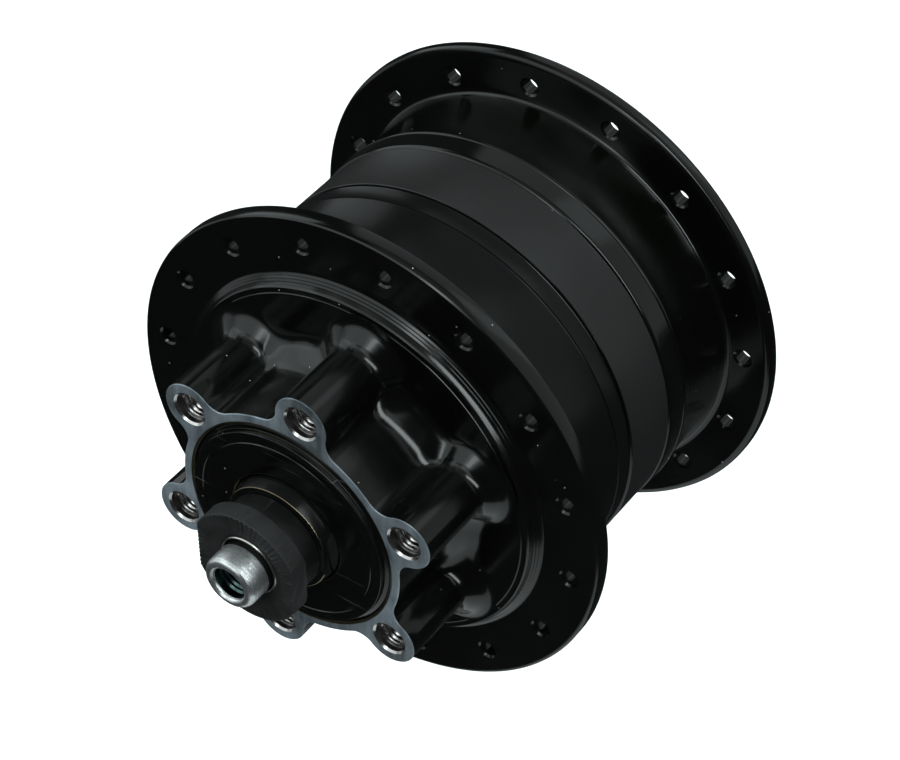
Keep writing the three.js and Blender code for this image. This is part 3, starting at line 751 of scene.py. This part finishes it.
# ---- axle ------------------------------------------------------------------------------------
def axle():
    """Hollow axle: rounded ends, rings in its bore, a collar in the middle, a slot for leads."""
    bore_r, groove_r, ring_pitch = 2.72, 2.95, 0.8
    end = [
        (bore_r, -52.9), (bore_r, -53.4), (2.86, -53.72), (3.02, -53.92), (3.16, -54.0),
        (3.5, -54.0), (3.78, -53.93), (4.02, -53.78), (4.2, -53.55), (4.33, -53.25), (4.4, -52.9),
        (4.4, -50.1), (4.28, -49.95),
    ]
    bore = []
    for k in range(4):
        y = -52.4 + ring_pitch * k
        bore += [(bore_r, y), (groove_r, y + 0.3), (bore_r, y + 0.6)]
    middle = [(4.4, -20.0), (7.4, -19.5), (7.6, -19.3), (7.6, -14.9), (7.5, -14.8), (6.0, -14.8),
              (6.0, 22.0), (4.4, 22.6)]
    left = list(reversed(bore)) + end
    right = [(r, -y) for r, y in reversed(end)] + [(r, -y) for r, y in bore]
    obj = turned("hollow_axle", left + middle + right, AXLE_SIDES,
                 finishes(ZINC, ZINC_BORE_SHADE, OXIDE_ROUGH_AND_SHADE))
    lead_slot = block((-1.3, 13.0, -8.0), (1.3, 45.5, -3.2))
    cut(obj, [lead_slot])

    def axle_finish(r, y, centre):
        # Painted shade: the bore and its rings take the darkened bore zinc.
        if r < groove_r + 0.02 and abs(y) < 53.3:
            return 1
        # Painted shade: the axle from each locknut inwards takes the dark oxide finish, standing in
        # for the nut's shade.
        return 2 if 20 < abs(y) < 50.04 else 0

    paint(obj, axle_finish)
    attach(obj, "axle")
    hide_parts("axle")


axle()


# ---- end cap ---------------------------------------------------------------------------------
END_CAP = [
    (28.4, 24.6), (30.8, 24.6, 0.2), (30.8, 25.9), (29.6, 25.9), (29.6, 27.5), (30.8, 27.5),
    (30.8, 28.0), (34.0, 28.0, 0.3), (33.6, 30.0, 0.8), (29.2, 31.25, 1.2), (28.6, 31.2, 0.1),
    (28.2, 31.6, 0.1), (21.5, 34.2, 1.5), (18.4, 36.4, 0.8), (18.0, 39.2, 0.4), (15.2, 39.2, 0.15),
    (15.2, 37.6), (13.4, 37.6), (13.4, 29.6), (9.0, 29.6), (9.0, 27.6), (15.5, 27.6), (19.0, 31.0),
    (28.4, 28.4),
]
end_cap = turned("right_end_cap_domed", END_CAP, END_CAP_SIDES, finishes(SHELL_GLOSS))
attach(end_cap, "shell")
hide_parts("right_end_cap")


# ---- terminal block and blades ---------------------------------------------------------------
def softened(name, node, width, finish, segments=3):
    """A copy of a CAD node's shape with its sharp edges rounded off."""
    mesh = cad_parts[node].data.copy()
    mesh.materials.clear()
    mesh.materials.append(finish.material)
    bm = bmesh.new()
    bm.from_mesh(mesh)
    bmesh.ops.remove_doubles(bm, verts=bm.verts, dist=0.002 * MM)
    bmesh.ops.dissolve_limit(bm, angle_limit=math.radians(3), verts=bm.verts, edges=bm.edges)
    bm.to_mesh(mesh)
    bm.free()
    obj = bpy.data.objects.new(name, mesh)
    bpy.context.scene.collection.objects.link(obj)
    bevel = obj.modifiers.new("edges", "BEVEL")
    bevel.width, bevel.segments, bevel.limit_method = width * MM, segments, "ANGLE"
    bevel.angle_limit = math.radians(40)
    shade(obj, 35.0)
    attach(obj, "axle")
    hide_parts(node)


softened("terminal_block_moulded", "terminal_block", 0.3, PLASTIC)
for number in (1, 2):
    softened(f"terminal_blade_{number}_pressed", f"terminal_blade_{number}", 0.15, BRASS,
             2)

# ---- CAD nodes that stay, with their materials -----------------------------------------------
STAYING = {
    "right_washer": OXIDE, "end_cap_o_ring": RUBBER, "left_seal_ring": RUBBER,
    "right_seal_ring": RUBBER, "magnet_yoke_ring": IRON, "stator_claw_left": IRON,
    "stator_claw_right": IRON, "stator_core": IRON, "coil_bobbin": NYLON, "coil_winding": COPPER,
    "stator_nut": ZINC, "lead_wire_1": WIRE, "lead_wire_2": WIRE, "left_bearing_cup": BEARING,
    "right_bearing_cup": BEARING, "left_ball_cage": IRON, "right_ball_cage": IRON,
}
STAYING.update({f"magnet_arc_{i}": FERRITE for i in range(1, 5)})
STAYING.update({f"{s}_ball_{i}": BEARING for s in ("left", "right") for i in range(1, 10)})
for node_name, made in STAYING.items():
    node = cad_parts[node_name]
    node.data.materials.clear()
    node.data.materials.append(made.material)

# ---- floor, light and camera -----------------------------------------------------------------
FLOOR_DROP, FLOOR_REACH = 0.30, 4.0
SOFTBOX_TINT = (0.92, 1.0, 1.01)
STUDIO_DARK = (0.02, 0.021, 0.022, 1.0)
BACKDROP = (1.0, 1.0, 1.0, 1.0)
VIEW_AZIMUTH, VIEW_ELEVATION, VIEW_DISTANCE = 35.0, 43.14, 0.4095
SENSOR_WIDTH, LENS = 36.0, 107.05
AIM_RIGHT, AIM_DOWN = 0.477, 1.35


def floor():
    finish = Finish("pale_floor")
    cloud = finish.noise(3.0, 2.0)
    finish.set(base_color=finish.mix(cloud, grey(0.92), grey(0.95)), roughness=0.8)
    mesh = bpy.data.meshes.new("floor")
    signs = ((-1, -1), (1, -1), (1, 1), (-1, 1))
    corners = [(x * FLOOR_REACH, y * FLOOR_REACH, 0) for x, y in signs]
    mesh.from_pydata(corners, [], [(0, 1, 2, 3)])
    mesh.materials.append(finish.material)
    obj = bpy.data.objects.new("floor", mesh)
    obj.location.z = -FLOOR_DROP
    obj.visible_glossy = False
    bpy.context.scene.collection.objects.link(obj)


def softbox(name, azimuth, elevation, width, height, radiance, distance=1.0):
    """A soft rectangular light that faces the hub, as bright as a surface of that radiance.

    Azimuth turns from +Y towards +X. Width and height are the angles it spans, in degrees.
    """
    light = bpy.data.lights.new(name, "AREA")
    light.shape = "RECTANGLE"
    light.size = 2 * distance * math.tan(math.radians(width) / 2)
    light.size_y = 2 * distance * math.tan(math.radians(height) / 2)
    light.energy = radiance * math.pi * light.size * light.size_y
    light.color = SOFTBOX_TINT
    obj = bpy.data.objects.new(name, light)
    turn, rise = math.radians(azimuth), math.radians(elevation)
    obj.location = Vector((math.cos(rise) * math.sin(turn), math.cos(rise) * math.cos(turn),
                           math.sin(rise))) * distance
    obj.rotation_mode = "QUATERNION"
    obj.rotation_quaternion = (-obj.location).to_track_quat("-Z", "Y")
    bpy.context.scene.collection.objects.link(obj)
    return obj


def camera():
    azimuth, elevation = math.radians(VIEW_AZIMUTH), math.radians(VIEW_ELEVATION)
    right = Vector((math.cos(azimuth), math.sin(azimuth), 0))
    back = Vector((math.sin(azimuth) * math.cos(elevation),
                   -math.cos(azimuth) * math.cos(elevation), math.sin(elevation)))
    up = back.cross(right)
    data = bpy.data.cameras.new("camera")
    data.sensor_width, data.lens = SENSOR_WIDTH, LENS
    data.clip_start, data.clip_end = 0.01, 50.0
    obj = bpy.data.objects.new("camera", data)
    place = back * VIEW_DISTANCE
    aim = right * AIM_RIGHT * MM - up * AIM_DOWN * MM
    toward = (aim - place).normalized()
    side = toward.cross(up).normalized()
    rise = side.cross(toward)
    obj.matrix_world = Matrix((
        (side.x, rise.x, -toward.x, place.x), (side.y, rise.y, -toward.y, place.y),
        (side.z, rise.z, -toward.z, place.z), (0, 0, 0, 1)))
    bpy.context.scene.collection.objects.link(obj)
    bpy.context.scene.camera = obj


def studio():
    """A dim room round the hub, with a white backdrop where the camera sees past the floor."""
    world = bpy.data.worlds.new("studio")
    world.use_nodes = True
    tree = world.node_tree
    path = tree.nodes.new("ShaderNodeLightPath")
    seen = tree.nodes.new("ShaderNodeMix")
    seen.data_type = "RGBA"
    seen.inputs[MIX_A].default_value = STUDIO_DARK
    seen.inputs[MIX_B].default_value = BACKDROP
    tree.links.new(path.outputs["Is Camera Ray"], seen.inputs[MIX_FACTOR])
    tree.links.new(seen.outputs[MIX_RESULT], tree.nodes["Background"].inputs["Color"])
    bpy.context.scene.world = world
    bpy.context.scene.view_settings.view_transform = "Standard"


floor()
for light in (
    # name, azimuth, elevation, width, height, radiance, distance
    ("front_left_softbox", -149, 25, 58, 36, 0.75),
    ("front_left_fill", -145, 45, 76, 60, 0.28, 1.4),
    ("left_softbox", -90, 24, 58, 36, 1.0),
    ("left_low_softbox", -99, -7, 40, 22, 0.48),
    ("left_high_softbox", -122, 48, 26, 18, 0.8),
    ("back_softbox", 0, 35, 62, 52, 0.42),
    ("right_back_softbox", 50, 28, 50, 64, 0.4),
    ("overhead_softbox", 0, 88, 44, 44, 0.25),
    ("front_high_softbox", -160, 60, 36, 13, 0.5),
    ("front_right_softbox", 160, 57, 42, 18, 0.8),
    ("front_spot", 179, 29, 9, 20, 3.0),
    ("front_spot_glow", 179, 31, 22, 34, 0.6, 1.2),
    ("right_strip", 106, 42, 13, 50, 6.0),
    ("low_bounce", 130, -68, 56, 54, 0.62, 0.25),
):
    softbox(*light)
# The wash lights the floor from above and stays out of the gloss.
softbox("floor_wash", 0, 90, 75, 75, 2.9, 2.6).visible_glossy = False
camera()
studio()
